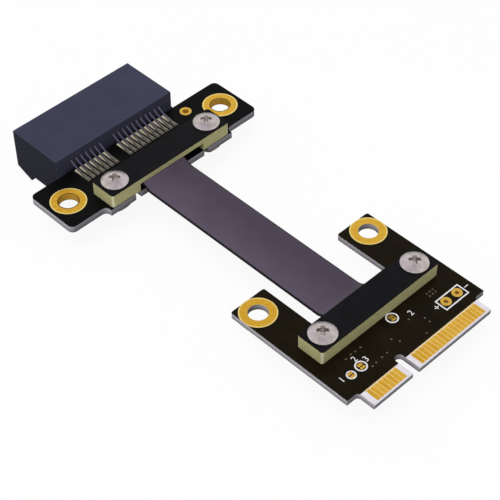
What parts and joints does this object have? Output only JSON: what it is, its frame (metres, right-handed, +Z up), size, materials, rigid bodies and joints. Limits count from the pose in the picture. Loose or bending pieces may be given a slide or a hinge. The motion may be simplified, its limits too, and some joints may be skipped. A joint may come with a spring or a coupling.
{
  "type": "mini card extension cable",
  "caption": "Flat ribbon extension cable with a half-size mini card edge board at one end and a card-edge socket board at the other, each clamped by a screwed bar.",
  "frame": {"origin": "centre of the bounding box's underside: midway across the boards, midway from the card's tips to the socket's mating face, at the lowest edge of the socket's snap ridge", "axes": "+X across the boards, +Y from the card's tabs to the socket's mating face, +Z up out of the boards' screwed side"},
  "size_m": [0.0406, 0.0786, 0.0092],
  "materials": {
    "housing_plastic": "moulded dark blue-grey plastic, satin",
    "board_mask": "black solder mask over grey laminate edges",
    "bar_laminate": "olive laminate with a black masked top",
    "ribbon_jacket": "smooth purple-grey film",
    "screw_steel": "plated steel, satin",
    "nut_steel": "plated steel, satin",
    "contact_metal": "thin gold plating",
    "conductor_copper": "tinned copper",
    "gold_plating": "gold-plated copper"
  },
  "bodies": {
    "root": {"cable_conductors": "conductor_copper", "card_bar_left_nut": "nut_steel", "card_bar_left_screw": "screw_steel", "card_bar_right_nut": "nut_steel", "card_bar_right_screw": "screw_steel", "card_board": "board_mask", "card_clamp_bar": "bar_laminate", "card_fingers_bottom": "gold_plating", "card_fingers_top": "gold_plating", "card_left_hole_rings": "gold_plating", "card_pads": "gold_plating", "card_right_hole_rings": "gold_plating", "lower_contact_01": "contact_metal", "lower_contact_02": "contact_metal", "lower_contact_03": "contact_metal", "lower_contact_04": "contact_metal", "lower_contact_05": "contact_metal", "lower_contact_06": "contact_metal", "lower_contact_07": "contact_metal", "lower_contact_08": "contact_metal", "lower_contact_09": "contact_metal", "lower_contact_10": "contact_metal", "lower_contact_11": "contact_metal", "lower_contact_12": "contact_metal", "lower_contact_13": "contact_metal", "lower_contact_14": "contact_metal", "lower_contact_15": "contact_metal", "lower_contact_16": "contact_metal", "lower_contact_17": "contact_metal", "lower_contact_18": "contact_metal", "ribbon_cable": "ribbon_jacket", "socket_bar_left_nut": "nut_steel", "socket_bar_left_screw": "screw_steel", "socket_bar_right_nut": "nut_steel", "socket_bar_right_screw": "screw_steel", "socket_board": "board_mask", "socket_board_ground_hole_plating": "gold_plating", "socket_board_left_hole_plating": "gold_plating", "socket_board_pads": "gold_plating", "socket_board_right_hole_plating": "gold_plating", "socket_clamp_bar": "bar_laminate", "socket_housing": "housing_plastic", "upper_contact_01": "contact_metal", "upper_contact_02": "contact_metal", "upper_contact_03": "contact_metal", "upper_contact_04": "contact_metal", "upper_contact_05": "contact_metal", "upper_contact_06": "contact_metal", "upper_contact_07": "contact_metal", "upper_contact_08": "contact_metal", "upper_contact_09": "contact_metal", "upper_contact_10": "contact_metal", "upper_contact_11": "contact_metal", "upper_contact_12": "contact_metal", "upper_contact_13": "contact_metal", "upper_contact_14": "contact_metal", "upper_contact_15": "contact_metal", "upper_contact_16": "contact_metal", "upper_contact_17": "contact_metal", "upper_contact_18": "contact_metal"}
  },
  "joints": []
}
